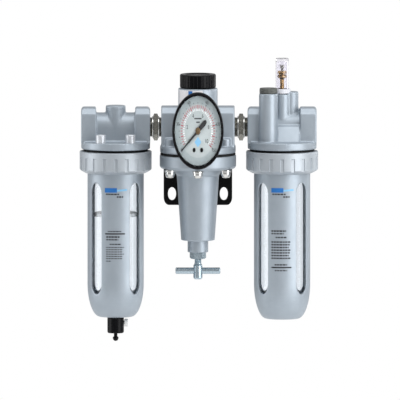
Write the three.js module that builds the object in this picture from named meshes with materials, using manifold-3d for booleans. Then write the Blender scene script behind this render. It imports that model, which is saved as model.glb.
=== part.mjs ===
// Filter regulator lubricator set: three die-cast units in a row, joined by hex nipples and hung on one wall bracket.
// Millimetres. The origin lies on the bracket's wall face, midway between its slots and 3 above them.
// +X runs with the air and +Y points into the wall.
import * as THREE from "three";
import { mergeVertices } from "three/addons/utils/BufferGeometryUtils.js";
import Module from "manifold-3d";

const wasm = await Module();
wasm.setup();

// ---- driving dimensions ----
const FILTER_X = -102.3; // the regulator's axis stands at x = 0
const LUBRICATOR_X = 104.7;
const UNIT_Y = -52; // the units' axes stand this far in front of the wall
const GAP = 0.3; // between pieces that touch
const PORT_Z = 55.1; // the air line's axis
const FINE = 20; // facets round a large turned piece
const MEDIUM = 14;
const SMALL = 10;

const PORT = { bore: 8.7, depth: 13, passage: 6 };
const BLOCK = { halfDepth: 17.5, top: 71.6, chamfer: 5, width: 18.7 };
const HEAD = { halfWidth: 43, flangeR: 42.8, flangeLow: 37.3, flangeTop: 43.5, barrelR: 12.2 };
const SPIGOT = { outer: 37.5, inner: 30.5, low: 29.3, chamberR: 28, chamberTop: 44 };
const RING = { outer: 44.75, groove: 43.6, top: 35.4, bandLow: 30.6, low: 17.4, lipTop: 21.9, ribs: 20 };
const GUARD = { outer: 35, inner: 32.4, flangeR: 37.6, flangeLow: 22.2, flangeTop: 24.5, bendZ: -74.4 };
const SLOT = { width: 17, low: -83.6, high: 8.5, angles: [45, 135, 225, 315] };
const BOWL = { outer: 31.6, inner: 29.2, flangeR: 37.2, flangeLow: 24.8, flangeTop: 27.2 };
const SCREWS = { circle: 40, shank: 2.1, hole: 2.6, head: 6, washer: 6.9, count: 6 };
const REGULATOR = { halfWidth: 45.65, flangeR: 47, flangeLow: 33.95, flangeTop: 39.8, neckR: 24.5, neckTop: 87.5 };
const BONNET = { flangeR: 47.5, flangeLow: 21, flangeTop: 32.05, neckR: 12.8, neckLow: -48.7, floor: -35.5 };
const GAUGE = { z: 55.8, bezelR: 32, caseR: 30.1, back: -49, front: -76.8, dialR: 28.8 };
const BRACKET = { halfWidth: 42.6, sheet: 2.5, low: -12.4, top: 20.7, frontY: 12, slotX: 32.2, slotZ: -3, corner: 6.5 };
const SPINDLE = { r: 4.4, hole: 4.9, hubR: 5.65, hubLow: -71.2, hubTop: -58.5, barZ: -64.2, barR: 2.7, bar: 55.8 };

// ---- materials ----
function material(color, roughness, metalness, opacity = 1) {
  return new THREE.MeshStandardMaterial({ color, roughness, metalness, opacity, transparent: opacity < 1 });
}
const SILVER = material(0xa9b0b8, 0.42, 0.35);
const RING_GREY = material(0xb4b9bf, 0.4, 0.3);
const BLACK_PLASTIC = material(0x16171a, 0.45, 0);
const BLACK_PAINT = material(0x1a1b1d, 0.5, 0.2);
const RUBBER = material(0x1b1b1c, 0.8, 0);
const NICKEL = material(0xc9cbcc, 0.25, 0.9);
const ZINC = material(0x9fb4c4, 0.35, 0.8);
const DARK_STEEL = material(0x5d5a54, 0.4, 0.8);
const BRASS = material(0xb8924a, 0.3, 0.9);
const SPRING_STEEL = material(0x8b8d90, 0.35, 0.9);
const SINTERED = material(0xe3e0d6, 0.9, 0);
const WHITE_PLASTIC = material(0xe9ebec, 0.5, 0);
const DIAL_FACE = material(0xdfe6ea, 0.7, 0);
const CLEAR = material(0xe8eef2, 0.1, 0, 0.35);

// ---- shapes ----
// A closed geometry as a solid that can be joined and cut, with its faces turned outwards.
function solid(geometry) {
  const plain = new THREE.BufferGeometry();
  plain.setAttribute("position", geometry.getAttribute("position"));
  plain.setIndex(geometry.index);
  const merged = mergeVertices(plain, 1e-4);
  const corners = [];
  for (let i = 0; i < merged.index.count; i += 3) {
    const [a, b, c] = [0, 1, 2].map((k) => merged.index.getX(i + k));
    if (a !== b && b !== c && c !== a) corners.push([a, b, c]);
  }
  const vertProperties = merged.attributes.position.array;
  const build = (faces) =>
    new wasm.Manifold(new wasm.Mesh({ numProp: 3, vertProperties, triVerts: new Uint32Array(faces.flat()) }));
  const made = build(corners);
  return made.volume() > 0 ? made : build(corners.map(([a, b, c]) => [a, c, b]));
}

// A body turned about Z from [radius, z] points: it closes on the axis, or on itself where it is a ring.
function turned(profile, segments = MEDIUM) {
  const points = profile.map(([r, z]) => new THREE.Vector2(r, z));
  const onAxis = profile[0][0] === 0 && profile[profile.length - 1][0] === 0;
  if (!onAxis) points.push(points[0].clone());
  return solid(new THREE.LatheGeometry(points, segments).rotateX(Math.PI / 2));
}

function rod(r, z0, z1, segments = MEDIUM) {
  return turned([[0, z0], [r, z0], [r, z1], [0, z1]], segments);
}

function tube(outer, inner, z0, z1, segments = MEDIUM) {
  return turned([[inner, z0], [outer, z0], [outer, z1], [inner, z1]], segments);
}

// A round bar from one point to another.
function bar(from, to, r, segments = SMALL) {
  const start = new THREE.Vector3(...from);
  const along = new THREE.Vector3(...to).sub(start);
  const geometry = new THREE.CylinderGeometry(r, r, along.length(), segments);
  geometry.translate(0, along.length() / 2, 0);
  const turn = new THREE.Quaternion().setFromUnitVectors(new THREE.Vector3(0, 1, 0), along.normalize());
  return solid(geometry.applyQuaternion(turn).translate(...from));
}

function block(x0, x1, y0, y1, z0, z1) {
  const geometry = new THREE.BoxGeometry(x1 - x0, y1 - y0, z1 - z0);
  return solid(geometry.translate((x0 + x1) / 2, (y0 + y1) / 2, (z0 + z1) / 2));
}

const AXES = {
  x: [[0, 1, 0], [0, 0, 1], [1, 0, 0]],
  y: [[1, 0, 0], [0, 0, 1], [0, 1, 0]],
  z: [[1, 0, 0], [0, 1, 0], [0, 0, 1]],
};

// An outline in the plane across an axis, drawn out along that axis.
function prism(axis, outline, from, to) {
  const shape = Array.isArray(outline) ? new THREE.Shape(outline.map(([a, b]) => new THREE.Vector2(a, b))) : outline;
  const geometry = new THREE.ExtrudeGeometry(shape, { depth: to - from, bevelEnabled: false, curveSegments: 4 });
  const basis = AXES[axis].map((v) => new THREE.Vector3(...v));
  return solid(geometry.translate(0, 0, from).applyMatrix4(new THREE.Matrix4().makeBasis(...basis)));
}

// A body turned about Z, laid over so that its axis points along Y.
function turnedY(profile, segments = MEDIUM, z = 0) {
  return turned(profile, segments).rotate([-90, 0, 0]).translate([0, 0, z]);
}

function turnedX(profile, segments = MEDIUM, z = 0) {
  return turned(profile, segments).rotate([0, 90, 0]).translate([0, 0, z]);
}

function joined(first, ...others) {
  return others.reduce((whole, part) => whole.add(part), first);
}

function cut(first, ...tools) {
  return tools.reduce((left, tool) => left.subtract(tool), first);
}

function around(count, startDegrees, make) {
  return Array.from({ length: count }, (_, i) => make(startDegrees + (360 / count) * i));
}

function polar(radius, degrees) {
  const angle = THREE.MathUtils.degToRad(degrees);
  return [radius * Math.cos(angle), radius * Math.sin(angle)];
}

// Points on a quarter ellipse, from its foot at [cx, cz - b] up to [cx + a, cz].
function quarter(cx, cz, a, b, steps = 3) {
  return Array.from({ length: steps + 1 }, (_, i) => {
    const t = (Math.PI / 2) * (i / steps);
    return [cx + a * Math.sin(t), cz - b * Math.cos(t)];
  });
}

// A wire wound about Z from z0 to z1.
function coil(radius, wire, z0, z1, turns) {
  class Helix extends THREE.Curve {
    getPoint(t, target = new THREE.Vector3()) {
      const angle = 2 * Math.PI * turns * t;
      return target.set(radius * Math.cos(angle), radius * Math.sin(angle), z0 + (z1 - z0) * t);
    }
  }
  const section = new THREE.Shape(around(5, 0, (a) => new THREE.Vector2(...polar(wire, a))));
  return solid(new THREE.ExtrudeGeometry(section, { steps: turns * 9, extrudePath: new Helix() }));
}

const root = new THREE.Group();
root.name = "filter_regulator_lubricator";

function unitGroup(x, y = UNIT_Y) {
  const group = new THREE.Group();
  group.position.set(x, y, 0);
  root.add(group);
  return group;
}

function place(group, name, made, look) {
  const mesh = made.getMesh();
  const geometry = new THREE.BufferGeometry();
  geometry.setAttribute("position", new THREE.BufferAttribute(mesh.vertProperties, 3));
  geometry.setIndex(new THREE.BufferAttribute(mesh.triVerts, 1));
  geometry.computeVertexNormals();
  const node = new THREE.Mesh(geometry, look);
  node.name = name;
  group.add(node);
}

// ---- shared by the filter and the lubricator ----
function portBlock(side, halfWidth, width, low, top) {
  const half = BLOCK.halfDepth;
  const outline = [[-half, low], [half, low], [half, top - BLOCK.chamfer], [half - BLOCK.chamfer, top]];
  outline.push([BLOCK.chamfer - half, top], [-half, top - BLOCK.chamfer]);
  const outside = side * halfWidth;
  const inside = side * (halfWidth - width);
  return prism("x", outline, Math.min(outside, inside), Math.max(outside, inside));
}

function portBore(side, halfWidth) {
  const mouth = side * (halfWidth + 1);
  return bar([mouth, 0, PORT_Z], [side * (halfWidth - PORT.depth), 0, PORT_Z], PORT.bore, MEDIUM);
}

// Flange, threaded spigot and the two port blocks, joined by the barrel that carries the air line.
function headCasting(rightBlockWidth = BLOCK.width) {
  const { flangeR, flangeLow, flangeTop, barrelR, halfWidth } = HEAD;
  const flange = turned(
    [[0, flangeLow], [flangeR, flangeLow], [flangeR, flangeTop - 1], [flangeR - 1, flangeTop], [0, flangeTop]],
    FINE,
  );
  const spigot = tube(SPIGOT.outer, SPIGOT.inner, SPIGOT.low, flangeLow + 1, FINE);
  const barrel = bar([1 - halfWidth, 0, PORT_Z], [halfWidth - 1, 0, PORT_Z], barrelR, MEDIUM);
  const web = block(-halfWidth + 1, halfWidth - 1, -barrelR, barrelR, flangeTop - 1, PORT_Z);
  const bosses = [-1, 1].flatMap((sx) => [-1, 1].map((sy) => [sx, sy]));
  const screwBosses = bosses.map(([sx, sy]) => rod(6.2, flangeTop - 1, flangeTop + 6.8, SMALL).translate([sx * 18.4, sy * 31, 0]));
  const left = portBlock(-1, halfWidth, BLOCK.width, flangeTop - 1, BLOCK.top);
  const right = portBlock(1, halfWidth, rightBlockWidth, flangeTop - 1, BLOCK.top);
  return joined(flange, spigot, barrel, web, left, right, ...screwBosses);
}

function headHollows() {
  return [
    rod(SPIGOT.chamberR, SPIGOT.low - 1, SPIGOT.chamberTop - 3, FINE),
    portBore(-1, HEAD.halfWidth),
    portBore(1, HEAD.halfWidth),
  ];
}

function ringNut() {
  const { outer, top, low, lipTop } = RING;
  const profile = [[GUARD.outer + 0.6, low], [38, low], [43.5, low + 2.1], [outer, low + 3.2], [outer, top]];
  profile.push([SPIGOT.outer + 0.6, top], [SPIGOT.outer + 0.6, lipTop], [GUARD.outer + 0.6, lipTop]);
  const grooves = around(RING.ribs, 9, (angle) =>
    block(RING.groove, outer + 2, -2.1, 2.1, low - 1, RING.bandLow).rotate([0, 0, angle]),
  );
  return cut(turned(profile, RING.ribs), ...grooves);
}

function bowlGuard(bottom, holeR) {
  const { outer, inner, flangeR, flangeLow, flangeTop, bendZ } = GUARD;
  const outside = quarter(19.5, bendZ, outer - 19.5, bendZ - bottom);
  const inside = quarter(17.5, bendZ, inner - 17.5, bendZ - bottom - 2.6).reverse();
  const rim = [[outer, flangeLow], [flangeR, flangeLow], [flangeR, flangeTop], [inner, flangeTop]];
  const shell = turned([[holeR, bottom], ...outside, ...rim, ...inside, [holeR, bottom + 2.6]], FINE);
  const r = SLOT.width / 2;
  const stadium = new THREE.Shape();
  stadium.absarc(0, SLOT.high - r, r, 0, Math.PI);
  stadium.absarc(0, SLOT.low + r, r, Math.PI, 2 * Math.PI);
  const slots = SLOT.angles.map((angle) => prism("y", stadium, -45, -20).rotate([0, 0, angle]));
  return cut(shell, ...slots);
}

function clearBowl(holeR) {
  const { outer, inner, flangeR, flangeLow, flangeTop } = BOWL;
  const outside = quarter(17, GUARD.bendZ, outer - 17, 23.4);
  const inside = quarter(17, GUARD.bendZ, inner - 17, 21).reverse();
  const rim = [[outer, flangeLow], [flangeR, flangeLow], [flangeR, flangeTop], [inner, flangeTop]];
  return turned([[holeR, -97.8], ...outside, ...rim, ...inside, [holeR, -95.4]], FINE);
}

// Head gasket, bowl seal, ring nut, guard and bowl hang under either head in the same way.
function bowlSet(group, unit, guardBottom, holeR) {
  const gasket = tube(40, SPIGOT.outer + GAP, RING.top + GAP, HEAD.flangeLow - GAP, FINE);
  place(group, `${unit}_head_gasket`, gasket, RUBBER);
  place(group, `${unit}_bowl_seal`, tube(36.5, 31, BOWL.flangeTop + GAP, SPIGOT.low - GAP, FINE), RUBBER);
  place(group, `${unit}_ring_nut`, ringNut(), RING_GREY);
  place(group, `${unit}_bowl_guard`, bowlGuard(guardBottom, holeR), SILVER);
  place(group, `${unit}_bowl`, clearBowl(holeR), CLEAR);
}

// ---- filter ----
function filterHead() {
  const boss = rod(12.35, PORT_Z, 73.1, MEDIUM);
  const centreTube = rod(11, SPIGOT.low + 5, SPIGOT.chamberTop, MEDIUM);
  const shell = cut(joined(headCasting(), boss), ...headHollows());
  return cut(
    joined(shell, centreTube),
    rod(8, SPIGOT.low, PORT_Z, MEDIUM),
    bar([0, 0, PORT_Z], [HEAD.halfWidth - 5, 0, PORT_Z], PORT.passage),
    bar([-HEAD.halfWidth + 5, 0, PORT_Z], [-20, 0, PORT_Z], PORT.passage),
    bar([-20, 0, PORT_Z + 2], [-20, 0, SPIGOT.chamberTop - 6], PORT.passage - 1),
    rod(2.6, PORT_Z, 66, SMALL),
  );
}

function filterDrain(group) {
  const body = turned([[2.6, -115.8], [10.3, -115.8], [10.3, -102.6], [6, -102.6], [6, -88], [2.6, -88]]);
  place(group, "drain_body", cut(body, bar([6, 0, -107.3], [12, 0, -107.3], 2.1, 12)), BLACK_PLASTIC);
  const nutBlank = solid(new THREE.CylinderGeometry(9.2, 9.2, 4, 6).rotateX(Math.PI / 2).translate(0, 0, -93));
  place(group, "drain_nut", cut(nutBlank, rod(6.4, -96, -90, SMALL)), NICKEL);
  const stem = turned(
    [[0, -122.6], [2.4, -122], [3.7, -120.4], [3.4, -118.9], [2.2, -118.9], [2.2, -86], [3.6, -86], [3.6, -84], [0, -84]],
    SMALL,
  );
  place(group, "drain_stem", stem, BLACK_PLASTIC);
  const pin = bar([6.8, 0, -107.3], [11.2, 0, -107.3], 1.7, 12);
  const spout = bar([10.9, 0, -107.3], [15.3, 0, -107.3], 3.25, SMALL);
  place(group, "drain_side_spout", joined(pin, spout), WHITE_PLASTIC);
}

function filterUnit() {
  const group = unitGroup(FILTER_X);
  place(group, "filter_head", filterHead(), SILVER);
  bowlSet(group, "filter", -102.2, 6.6);
  const vaneRing = [[11.4, 38], [25, 38], [26.8, 29.5], [25.8, 29.5], [24, 36.5], [11.4, 36.5]];
  place(group, "filter_deflector", turned(vaneRing), WHITE_PLASTIC);
  place(group, "filter_element", tube(17, 12, -12, 33.7), SINTERED);
  const baffle = [[2.6, -18.6], [27.2, -18.6], [27.6, -15.6], [15, -15.6], [11, -12.3], [2.6, -12.3]];
  place(group, "filter_baffle", turned(baffle), WHITE_PLASTIC);
  const tieRod = [[0, -23], [5, -23], [5, -18.9], [2.2, -18.9], [2.2, 64], [0, 64]];
  place(group, "filter_tie_rod", turned(tieRod, SMALL), WHITE_PLASTIC);
  filterDrain(group);
}

// ---- regulator ----
function screwPositions() {
  return around(SCREWS.count, -90, (angle) => polar(SCREWS.circle, angle));
}

function screwHoles(low, high) {
  return screwPositions().map(([x, y]) => rod(SCREWS.hole, low, high, 10).translate([x, y, 0]));
}

function regulatorBody() {
  const { halfWidth, flangeR, flangeLow, flangeTop, neckR, neckTop } = REGULATOR;
  const flange = rod(flangeR, flangeLow, flangeTop, FINE);
  const span = portBlock(1, halfWidth, 2 * halfWidth, flangeTop - 1, 72.4);
  const neck = rod(neckR, flangeTop - 1, neckTop, FINE);
  const bosses = screwPositions().map(([x, y]) => rod(6, flangeTop - 1, 46.5, SMALL).translate([x, y, 0]));
  const gaugeBoss = bar([0, 0, GAUGE.z], [0, -36, GAUGE.z], 10, MEDIUM);
  const whole = joined(flange, span, neck, gaugeBoss, ...bosses);
  return cut(
    whole,
    rod(30, flangeLow - 1, 37.4, FINE),
    rod(5.5, 35, 61, SMALL),
    rod(14, 60, neckTop + 1, MEDIUM),
    rod(17.3, 85.9, neckTop + 1, MEDIUM),
    portBore(-1, halfWidth),
    portBore(1, halfWidth),
    bar([-36, 0, PORT_Z], [-9, 0, 66], 4.5),
    bar([36, 0, PORT_Z], [22, 0, 34], 4.5),
    bar([0, -37, GAUGE.z], [0, -20, GAUGE.z], 7),
    bar([0, -22, GAUGE.z], [0, -14, 34], 2.5, 10),
    ...screwHoles(flangeLow - 1, 42),
  );
}

function valveGear(group) {
  const cap = turned(
    [[9.5, 77], [13.5, 77], [13.5, 88.2], [22.4, 88.2], [22.4, 97.9], [21.2, 99.1], [0, 99.1], [0, 94], [9.5, 94]],
    FINE,
  );
  const flutes = around(FINE, 9, (angle) => block(21.5, 24, -1, 1, 85, 101).rotate([0, 0, angle]));
  place(group, "valve_cap", cut(cap, ...flutes), BLACK_PLASTIC);
  place(group, "valve_cap_seal", tube(16.9, 14.9, 86.2, 87.9), RUBBER);
  place(group, "main_valve", turned([[0, 60.3], [9, 60.3], [9, 64], [3, 65.5], [3, 80], [0, 80]]), BRASS);
  place(group, "valve_spring", coil(6.6, 0.6, 66.5, 93, 4), SPRING_STEEL);
}

function bonnet() {
  const { flangeR, flangeLow, flangeTop, neckR, neckLow, floor } = BONNET;
  const foot = [[SPINDLE.hole, neckLow], [neckR, neckLow], [neckR, -38.7], [20.4, -38.7]];
  const side = [[20.9, -38], [26.4, 15.2], [28.2, 17.6], [31, flangeLow], [46, flangeLow], [flangeR, 22.8]];
  const inside = [[flangeR, flangeTop], [24.5, flangeTop], [23, 15], [18.6, floor], [SPINDLE.hole, floor]];
  return cut(turned([...foot, ...side, ...inside], FINE), ...screwHoles(flangeLow - 1, flangeTop + 1));
}

function springSet(group) {
  const diaphragm = cut(tube(REGULATOR.flangeR, 25, 32.35, 33.65, FINE), ...screwHoles(31, 35));
  place(group, "diaphragm", diaphragm, RUBBER);
  const plate = [[0, 27], [17, 27], [17, 31.5], [24, 31.5], [24, 34.5], [8, 34.5], [2.2, 36.3], [2.2, 60], [0, 60]];
  place(group, "diaphragm_plate", turned(plate), NICKEL);
  place(group, "control_spring", coil(13.8, 1.6, -26, 25, 5), SPRING_STEEL);
  place(group, "spring_seat", turned([[0, -31.5], [16.5, -31.5], [16.5, -28.2], [0, -28.2]]), NICKEL);
}

function adjuster(group) {
  const { r, hubR, hubLow, hubTop, barZ, barR } = SPINDLE;
  const shaft = [[0, hubLow], [hubR - 1, hubLow], [hubR, hubLow + 1], [hubR, hubTop - 1.2], [r, hubTop]];
  const screw = turned([...shaft, [r, -33], [r - 1, -31.8], [0, -31.8]]);
  place(group, "adjusting_screw", cut(screw, bar([-9, 0, barZ], [9, 0, barZ], barR + 0.3)), ZINC);
  const half = SPINDLE.bar / 2;
  const handle = [[0, -half], [1.6, -half], [barR, 1.3 - half], [barR, half - 1.3], [1.6, half], [0, half]];
  place(group, "tee_bar", turnedX(handle, SMALL, barZ), ZINC);
  const nut = solid(new THREE.CylinderGeometry(10.2, 10.2, 5.2, 6).rotateX(Math.PI / 2).translate(0, 0, -51.6));
  place(group, "lock_nut", cut(nut, rod(SPINDLE.hole, -56, -48, SMALL)), ZINC);
}

// Pan-head screws with a captive washer: the three rear ones also clamp the bracket's sheet.
function bonnetScrews(group) {
  screwPositions().forEach(([x, y], i) => {
    const seat = BONNET.flangeLow - GAP - (y > 0 ? BRACKET.sheet + GAP : 0);
    const profile = [[0, seat - 6.4], [2.6, seat - 6.4], [4.9, seat - 5.2], [SCREWS.head, seat - 1.4]];
    profile.push([SCREWS.washer, seat - 1.4], [SCREWS.washer, seat], [SCREWS.shank, seat], [SCREWS.shank, 41.5], [0, 41.5]);
    place(group, `bonnet_screw_${i + 1}`, turned(profile, SMALL).translate([x, y, 0]), NICKEL);
  });
}

function bracket() {
  const { halfWidth, sheet, low, top, frontY, slotX, slotZ, corner } = BRACKET;
  const wall = -UNIT_Y;
  const shape = new THREE.Shape();
  shape.moveTo(-halfWidth, top);
  shape.lineTo(-halfWidth, low + corner);
  shape.absarc(corner - halfWidth, low + corner, corner, Math.PI, 1.5 * Math.PI);
  shape.absarc(halfWidth - corner, low + corner, corner, 1.5 * Math.PI, 2 * Math.PI);
  shape.lineTo(halfWidth, top);
  const upright = prism("y", shape, wall - sheet, wall);
  const shelf = block(-halfWidth, halfWidth, frontY, wall, top - sheet, top);
  const slots = [-1, 1].map((side) => {
    const slot = new THREE.Shape();
    slot.absarc(side * slotX, slotZ + 0.4, 5, 0, Math.PI);
    slot.absarc(side * slotX, slotZ - 0.4, 5, Math.PI, 2 * Math.PI);
    return prism("y", slot, wall - 5, wall + 5);
  });
  return cut(joined(upright, shelf), rod(32.5, 10, 25, FINE), ...slots, ...screwHoles(10, 25));
}

function gauge(group) {
  const { z, bezelR, caseR, back, front, dialR } = GAUGE;
  const can = [[4.6, back - 1.5], [4.6, back], [caseR - 2, back], [caseR, back - 2], [caseR, -73], [29, -73], [29, back - 1.5]];
  place(group, "gauge_case", turnedY(can, FINE, z), BLACK_PAINT);
  const lip = [[caseR + 0.4, -67], [bezelR - 0.8, -67], [bezelR, -68], [bezelR, front + 1.5], [bezelR - 1.5, front]];
  const inner = [[29.6, front], [29.3, front + 1.2], [31, front + 1.2], [31, -73.1], [caseR + 0.4, -73.1]];
  place(group, "gauge_bezel", turnedY([...lip, ...inner], FINE, z), BLACK_PAINT);
  place(group, "gauge_lens", turnedY([[0, -75.3], [30.7, -75.3], [30.7, -73.4], [0, -73.4]], FINE, z), CLEAR);
  const mountHoles = [-1, 1].map((side) => bar([side * 4.7, -72, z - 15.9], [side * 4.7, -60, z - 15.9], 1, 8));
  const dial = turnedY([[1.5, -70.2], [dialR, -70.2], [dialR, -69.4], [1.5, -69.4]], FINE, z);
  place(group, "gauge_dial", cut(dial, ...mountHoles), DIAL_FACE);
  const movement = block(-8, 8, -68.8, -60, z - 19, z + 6);
  const shaftHole = bar([0, -70, z], [0, -58, z], 1.5, 10);
  place(group, "gauge_movement", cut(movement, shaftHole, ...mountHoles), BRASS);
  ["left", "right"].forEach((side, i) => {
    const screw = turnedY([[0, -71.3], [1.9, -71.3], [1.9, -70.5], [0.7, -70.5], [0.7, -63], [0, -63]], 10, z - 15.9);
    place(group, `gauge_dial_screw_${side}`, screw.translate([(2 * i - 1) * 4.7, 0, 0]), BLACK_PAINT);
  });
  const hub = turnedY([[0, -72.9], [3.7, -72.9], [3.7, -70.9], [1.1, -70.9], [1.1, -60.5], [0, -60.5]], SMALL, z);
  const needle = prism("y", [[-3, -1.3], [12, -1.5], [12, 1.5], [-3, 1.3], [-22, 0.35], [-22, -0.35]], -72.2, -71.4);
  place(group, "gauge_pointer", joined(hub, needle.rotate([0, -45, 0]).translate([0, 0, z])), BLACK_PAINT);
  const tubePath = new THREE.CatmullRomCurve3(
    around(9, 0, (a) => a)
      .slice(0, 8)
      .map((a) => new THREE.Vector3(23 * Math.sin((a * Math.PI) / 200), -56, z - 23 * Math.cos((a * Math.PI) / 200))),
  );
  const oval = new THREE.Shape(around(6, 0, (a) => new THREE.Vector2(...polar(1.6, a))));
  place(group, "bourdon_tube", solid(new THREE.ExtrudeGeometry(oval, { steps: 12, extrudePath: tubePath })), BRASS);
  const hex = solid(new THREE.CylinderGeometry(8.2, 8.2, 7.5, 6).translate(0, -44.6, z));
  const shank = turnedY([[1.5, -53.5], [4.2, -53.5], [4.2, -48.6], [6.5, -48.6], [6.5, -24], [1.5, -24]], SMALL, z);
  place(group, "gauge_stem", joined(shank, cut(hex, bar([0, -50, z], [0, -40, z], 4, 12))), BRASS);
}

function regulatorUnit() {
  const group = unitGroup(0);
  place(group, "regulator_body", regulatorBody(), SILVER);
  valveGear(group);
  place(group, "bonnet", bonnet(), SILVER);
  springSet(group);
  adjuster(group);
  bonnetScrews(group);
  place(group, "wall_bracket", bracket(), BLACK_PAINT);
  gauge(group);
}

// ---- lubricator ----
const FILL = { x: -17, y: -20, r: 11.7, top: 84.1 };

function lubricatorHead() {
  const fillTower = rod(FILL.r, HEAD.flangeTop - 1, FILL.top).translate([FILL.x, FILL.y, 0]);
  const sightTower = rod(10.7, PORT_Z, 83);
  const rearTower = rod(9.4, PORT_Z, 84.5).translate([10.9, 3, 0]);
  const shoulder = block(-24, 21.3, -17, 17, HEAD.flangeTop - 1, 57);
  const shell = cut(joined(headCasting(21.2), shoulder, fillTower, sightTower, rearTower), ...headHollows());
  return cut(
    shell,
    bar([-HEAD.halfWidth + 5, 0, PORT_Z], [HEAD.halfWidth - 5, 0, PORT_Z], PORT.passage),
    rod(8.6, 75, 84, MEDIUM),
    rod(11.2, 83, 86, MEDIUM),
    rod(2.4, 38, 80, SMALL),
    rod(7.6, 62, 86).translate([FILL.x, FILL.y, 0]),
    rod(9.4, 82.6, 86).translate([FILL.x, FILL.y, 0]),
    rod(4, 38, 63, 12).translate([-14, -17, 0]),
  );
}

function fillPlug(group) {
  const plug = turned([[0, 70], [6.9, 70], [6.9, 84.4], [11.15, 84.4], [11.15, 88], [10.5, 88.6], [0, 88.6]]);
  const slot = block(-12, 12, -1.2, 1.2, 87, 90);
  place(group, "fill_plug", cut(plug, slot).translate([FILL.x, FILL.y, 0]), DARK_STEEL);
  const seal = tube(8.9, 7.3, 82.9, 84.1).translate([FILL.x, FILL.y, 0]);
  place(group, "fill_plug_seal", seal, RUBBER);
}

function sightGlass(group) {
  place(group, "sight_dome_collar", tube(10.7, 8.5, 83.3, 87), WHITE_PLASTIC);
  place(group, "sight_dome", turned([[6.6, 75.3], [8.15, 75.3], [8.15, 111.4], [7.4, 112.2], [0, 112.2], [0, 110.4], [6.6, 110.4], [6.6, 75.3]]), CLEAR);
  const metering = [[1.8, 79], [1.8, 76], [6.2, 76], [6.2, 79], [2.6, 79.6], [2.6, 95.6], [5.8, 96.4], [5.8, 101.8], [1.8, 101.8]];
  place(group, "metering_block", turned(metering, SMALL), BRASS);
  const screw = turned([[0, 92], [1.4, 94], [1.4, 104], [2.9, 104], [2.9, 106.6], [0, 106.6]], SMALL);
  place(group, "metering_screw", cut(screw, block(-4, 4, -0.5, 0.5, 105.6, 108)), DARK_STEEL);
}

function lubricatorUnit() {
  const group = unitGroup(LUBRICATOR_X);
  place(group, "lubricator_head", lubricatorHead(), SILVER);
  bowlSet(group, "lubricator", -103.8, 3);
  fillPlug(group);
  sightGlass(group);
  place(group, "oil_pickup_tube", tube(2, 1.1, -88, 50, 12), WHITE_PLASTIC);
  place(group, "oil_pickup_strainer", tube(4.5, 2.3, -93, -84, SMALL), BRASS);
}

// ---- nipples between the units ----
function nipple(group, name, x) {
  const thread = turnedX([[5.5, -16.2], [8.33, -16.2], [8.33, 16.2], [5.5, 16.2]], SMALL, PORT_Z);
  const hex = solid(new THREE.CylinderGeometry(11.25, 11.25, 6, 6).rotateZ(Math.PI / 2).translate(0, 0, PORT_Z));
  const tapped = cut(hex, bar([-5, 0, PORT_Z], [5, 0, PORT_Z], 7));
  place(group, name, joined(thread, tapped).translate([x, 0, 0]), DARK_STEEL);
}

function nipples() {
  const group = unitGroup(0);
  nipple(group, "inlet_nipple", (FILTER_X + HEAD.halfWidth - REGULATOR.halfWidth) / 2);
  nipple(group, "outlet_nipple", (LUBRICATOR_X - HEAD.halfWidth + REGULATOR.halfWidth) / 2);
}

filterUnit();
regulatorUnit();
lubricatorUnit();
nipples();

export default root;
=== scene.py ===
# The finished look of the filter regulator lubricator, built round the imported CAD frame.
# Lengths are millimetres in the shared frame until a mesh is made; MM turns them into Blender's metres.
import math

import bmesh
import bpy
from mathutils import Matrix, Vector

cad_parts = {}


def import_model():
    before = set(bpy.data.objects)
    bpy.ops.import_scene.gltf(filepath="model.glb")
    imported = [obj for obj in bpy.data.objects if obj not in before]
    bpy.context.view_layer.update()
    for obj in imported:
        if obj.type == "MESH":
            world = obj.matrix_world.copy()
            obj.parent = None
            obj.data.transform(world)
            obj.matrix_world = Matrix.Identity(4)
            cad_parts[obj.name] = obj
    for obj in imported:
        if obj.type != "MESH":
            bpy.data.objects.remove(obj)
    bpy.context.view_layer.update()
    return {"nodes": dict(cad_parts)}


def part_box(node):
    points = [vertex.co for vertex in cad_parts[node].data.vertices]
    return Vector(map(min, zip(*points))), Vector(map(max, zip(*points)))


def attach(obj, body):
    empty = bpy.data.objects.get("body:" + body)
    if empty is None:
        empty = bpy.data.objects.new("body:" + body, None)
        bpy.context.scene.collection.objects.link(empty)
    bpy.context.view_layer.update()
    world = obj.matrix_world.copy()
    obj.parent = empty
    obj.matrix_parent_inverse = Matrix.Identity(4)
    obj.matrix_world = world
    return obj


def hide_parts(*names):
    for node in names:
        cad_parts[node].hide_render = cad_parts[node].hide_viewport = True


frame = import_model()

MM = 0.001
ROUND = 96  # facets round a large turned piece
FINE_ROUND = 48  # facets round a small one
CAST_VOXEL = 0.75  # the grain of the remesh that softens a casting
SHARP = math.radians(38)  # a turn sharper than this is shaded as an edge
BEVEL_FROM = math.radians(35)  # and one sharper than this gets a bevel
BUMP_HEIGHT = 0.0004  # metres


# ---- places, from the frame ----
def low(node):
    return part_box(node)[0] / MM


def high(node):
    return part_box(node)[1] / MM


def middle(node):
    return (low(node) + high(node)) / 2


def height(node):
    return high(node).z - low(node).z


FILTER = middle("filter_ring_nut").xy
LUBRICATOR = middle("lubricator_ring_nut").xy
REGULATOR = middle("regulator_body").xy
PORT_Z = middle("inlet_nipple").z
HEAD_HALF = (high("filter_head").x - low("filter_head").x) / 2
REGULATOR_HALF = (high("regulator_body").x - low("regulator_body").x) / 2 - 1.35
GAUGE = Vector((middle("gauge_bezel").x, low("gauge_bezel").y, middle("gauge_bezel").z))


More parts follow.
